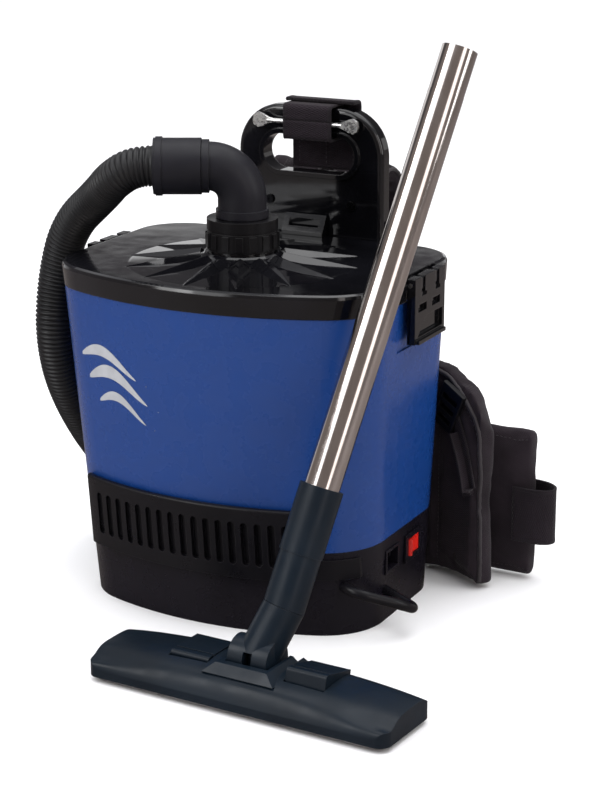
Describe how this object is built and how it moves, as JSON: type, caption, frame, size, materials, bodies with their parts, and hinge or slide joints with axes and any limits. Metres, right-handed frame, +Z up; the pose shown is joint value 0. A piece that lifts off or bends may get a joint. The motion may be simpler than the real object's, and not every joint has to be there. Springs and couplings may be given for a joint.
{
  "type": "backpack vacuum cleaner",
  "caption": "Backpack vacuum cleaner: tapered drum on a motor base, lift-off lid with swivel elbow and ribbed hose, carrying harness, steel wand and pedal floor tool.",
  "frame": {"origin": "middle of the flat underside of the motor base, on the floor", "axes": "+Z up, +Y from the bowed front towards the harness, +X to the right as the front is faced"},
  "size_m": [0.5079, 0.7536, 0.5457],
  "materials": {
    "base_black": "satin",
    "drum_blue": "semi-gloss",
    "satin_black": "satin",
    "zinc": "bright zinc",
    "switch_red": "gloss",
    "core_steel": "laminated",
    "seal_rubber": "matt",
    "aluminium": "spun",
    "grey_plastic": "matt",
    "filter_felt": "felt",
    "bag_paper": "fleece",
    "gloss_black": "high gloss",
    "matt_black": "matt",
    "matt_grey": "matt",
    "hose_black": "corrugated",
    "chrome_tube": "polished",
    "webbing": "woven",
    "pad_fabric": "woven",
    "tool_black": "satin",
    "steel_plate": "brushed",
    "bristle": "bristle"
  },
  "bodies": {
    "housing": {"motor_base": "base_black", "bottom_cover": "base_black", "bottom_screws": "zinc", "drum_shell": "drum_blue", "vent_grille": "satin_black", "switch_bezel": "base_black", "power_inlet": "base_black", "access_cover": "satin_black", "cable_hook": "satin_black", "motor_casing": "zinc", "motor_stator": "core_steel", "motor_seal_ring": "seal_rubber", "motor_foot": "seal_rubber", "filter_frame": "grey_plastic", "filter_cloth": "filter_felt", "dust_bag": "bag_paper", "bag_collar": "grey_plastic", "back_plate": "gloss_black", "plate_screws": "zinc", "strap_rod": "zinc", "strap_wrap": "webbing", "top_strap": "webbing", "back_pad": "pad_fabric", "shoulder_strap_left": "pad_fabric", "shoulder_strap_right": "pad_fabric"},
    "lid": {"lid_cover": "gloss_black", "lid_catch": "gloss_black", "lid_seal": "seal_rubber", "inlet_spigot": "gloss_black", "latch_pins": "zinc", "hose": "hose_black", "hose_end_cuff": "matt_grey", "hand_tube": "chrome_tube"},
    "ring": {"inlet_ring": "matt_black"},
    "elbow": {"elbow_pipe": "matt_grey"},
    "cuff": {"hose_cuff": "matt_grey"},
    "slider": {"air_slider": "matt_black"},
    "latch_l": {"latch_left": "gloss_black"},
    "latch_r": {"latch_right": "gloss_black"},
    "switch": {"rocker_switch": "switch_red"},
    "rotor": {"armature": "core_steel", "impeller": "aluminium"},
    "belt_r": {"belt_sleeve_right": "pad_fabric", "hip_pad_right": "pad_fabric", "belt_loop_right": "webbing", "ladder_lock_right": "matt_black", "strap_tail_right": "webbing"},
    "belt_l": {"belt_sleeve_left": "pad_fabric", "belt_loop_left": "webbing"},
    "floor_tool": {"tool_cover": "tool_black", "sole_plate": "steel_plate", "tool_pins": "zinc"},
    "brushes": {"brush_strips": "bristle"},
    "wheel_l": {"tool_wheel_left": "grey_plastic"},
    "wheel_r": {"tool_wheel_right": "grey_plastic"},
    "pedal_l": {"pedal_left": "tool_black"},
    "pedal_r": {"pedal_right": "tool_black"},
    "yoke": {"tool_yoke": "tool_black"},
    "wand": {"tool_neck": "tool_black", "wand_tube": "chrome_tube"}
  },
  "joints": [
    {"name": "lid_lift", "type": "slide", "parent": "housing", "child": "lid", "axis": [0, -0.2425, 0.9701], "range_m": [0, 0.08]},
    {"name": "ring_turn", "type": "hinge", "parent": "lid", "child": "ring", "pos_m": [0, -0.01, 0.358], "axis": [0, 0, 1], "range_deg": [-90, 0]},
    {"name": "elbow_swivel", "type": "hinge", "parent": "lid", "child": "elbow", "pos_m": [0, -0.01, 0.365], "axis": [0, 0, 1], "range_deg": [-22, 22], "deforming": ["hose"]},
    {"name": "cuff_twist", "type": "hinge", "parent": "elbow", "child": "cuff", "pos_m": [0, -0.01, 0.4195], "axis": [-0.8949, -0.4462, 0], "range_deg": [-90, 90]},
    {"name": "air_slide", "type": "slide", "parent": "lid", "child": "slider", "axis": [0.6816, -0.731, 0.0336], "range_m": [0, 0.009]},
    {"name": "latch_left_swing", "type": "hinge", "parent": "lid", "child": "latch_l", "pos_m": [-0.1675, 0.023, 0.323], "axis": [0, 1, 0], "range_deg": [0, 75]},
    {"name": "latch_right_swing", "type": "hinge", "parent": "lid", "child": "latch_r", "pos_m": [0.1675, 0.023, 0.323], "axis": [0, -1, 0], "range_deg": [0, 75]},
    {"name": "switch_rock", "type": "hinge", "parent": "housing", "child": "switch", "pos_m": [0.14968, 0.044, 0.059], "axis": [0, 0, 1], "range_deg": [-8, 0]},
    {"name": "motor_spin", "type": "hinge", "parent": "housing", "child": "rotor", "pos_m": [0, 0.02, 0.06], "axis": [0, 0, 1], "continuous": true},
    {"name": "belt_right_fold", "type": "hinge", "parent": "housing", "child": "belt_r", "pos_m": [0.1, 0.1623, 0.1], "axis": [0, 0, 1], "range_deg": [0, 20]},
    {"name": "belt_left_fold", "type": "hinge", "parent": "housing", "child": "belt_l", "pos_m": [-0.1, 0.1623, 0.1], "axis": [0, 0, 1], "range_deg": [-35, 5]},
    {"name": "tool_away", "type": "slide", "parent": "housing", "child": "floor_tool", "axis": [0, -1, 0], "range_m": [0, 0.3]},
    {"name": "tool_tilt", "type": "hinge", "parent": "floor_tool", "child": "yoke", "pos_m": [0.12482, -0.22301, 0.038], "axis": [0.9968, -0.0802, 0], "range_deg": [-4, 40]},
    {"name": "neck_swivel", "type": "hinge", "parent": "yoke", "child": "wand", "pos_m": [0.1399, -0.2023, 0.0796], "axis": [0.2307, 0.3995, 0.8872], "range_deg": [-90, 90]},
    {"name": "pedal_right_press", "type": "hinge", "parent": "floor_tool", "child": "pedal_r", "pos_m": [0.18424, -0.20773, 0.024], "axis": [0.9968, -0.0802, 0], "range_deg": [0, 13]},
    {"name": "pedal_left_press", "type": "hinge", "parent": "floor_tool", "child": "pedal_l", "pos_m": [0.06861, -0.19843, 0.024], "axis": [0.9968, -0.0802, 0], "range_deg": [-13, 0]},
    {"name": "brush_slide", "type": "slide", "parent": "floor_tool", "child": "brushes", "axis": [0, 0, 1], "range_m": [0, 0.0025]},
    {"name": "wheel_left_roll", "type": "hinge", "parent": "floor_tool", "child": "wheel_l", "pos_m": [0.01539, -0.18662, 0.009], "axis": [0.9968, -0.0802, 0], "continuous": true},
    {"name": "wheel_right_roll", "type": "hinge", "parent": "floor_tool", "child": "wheel_r", "pos_m": [0.23867, -0.20458, 0.009], "axis": [0.9968, -0.0802, 0], "continuous": true}
  ],
  "couplings": [
    {"joint": "pedal_left_press", "follows": "pedal_right_press", "ratio": -1},
    {"joint": "brush_slide", "follows": "pedal_right_press", "m_per_rad": 0.0105}
  ]
}
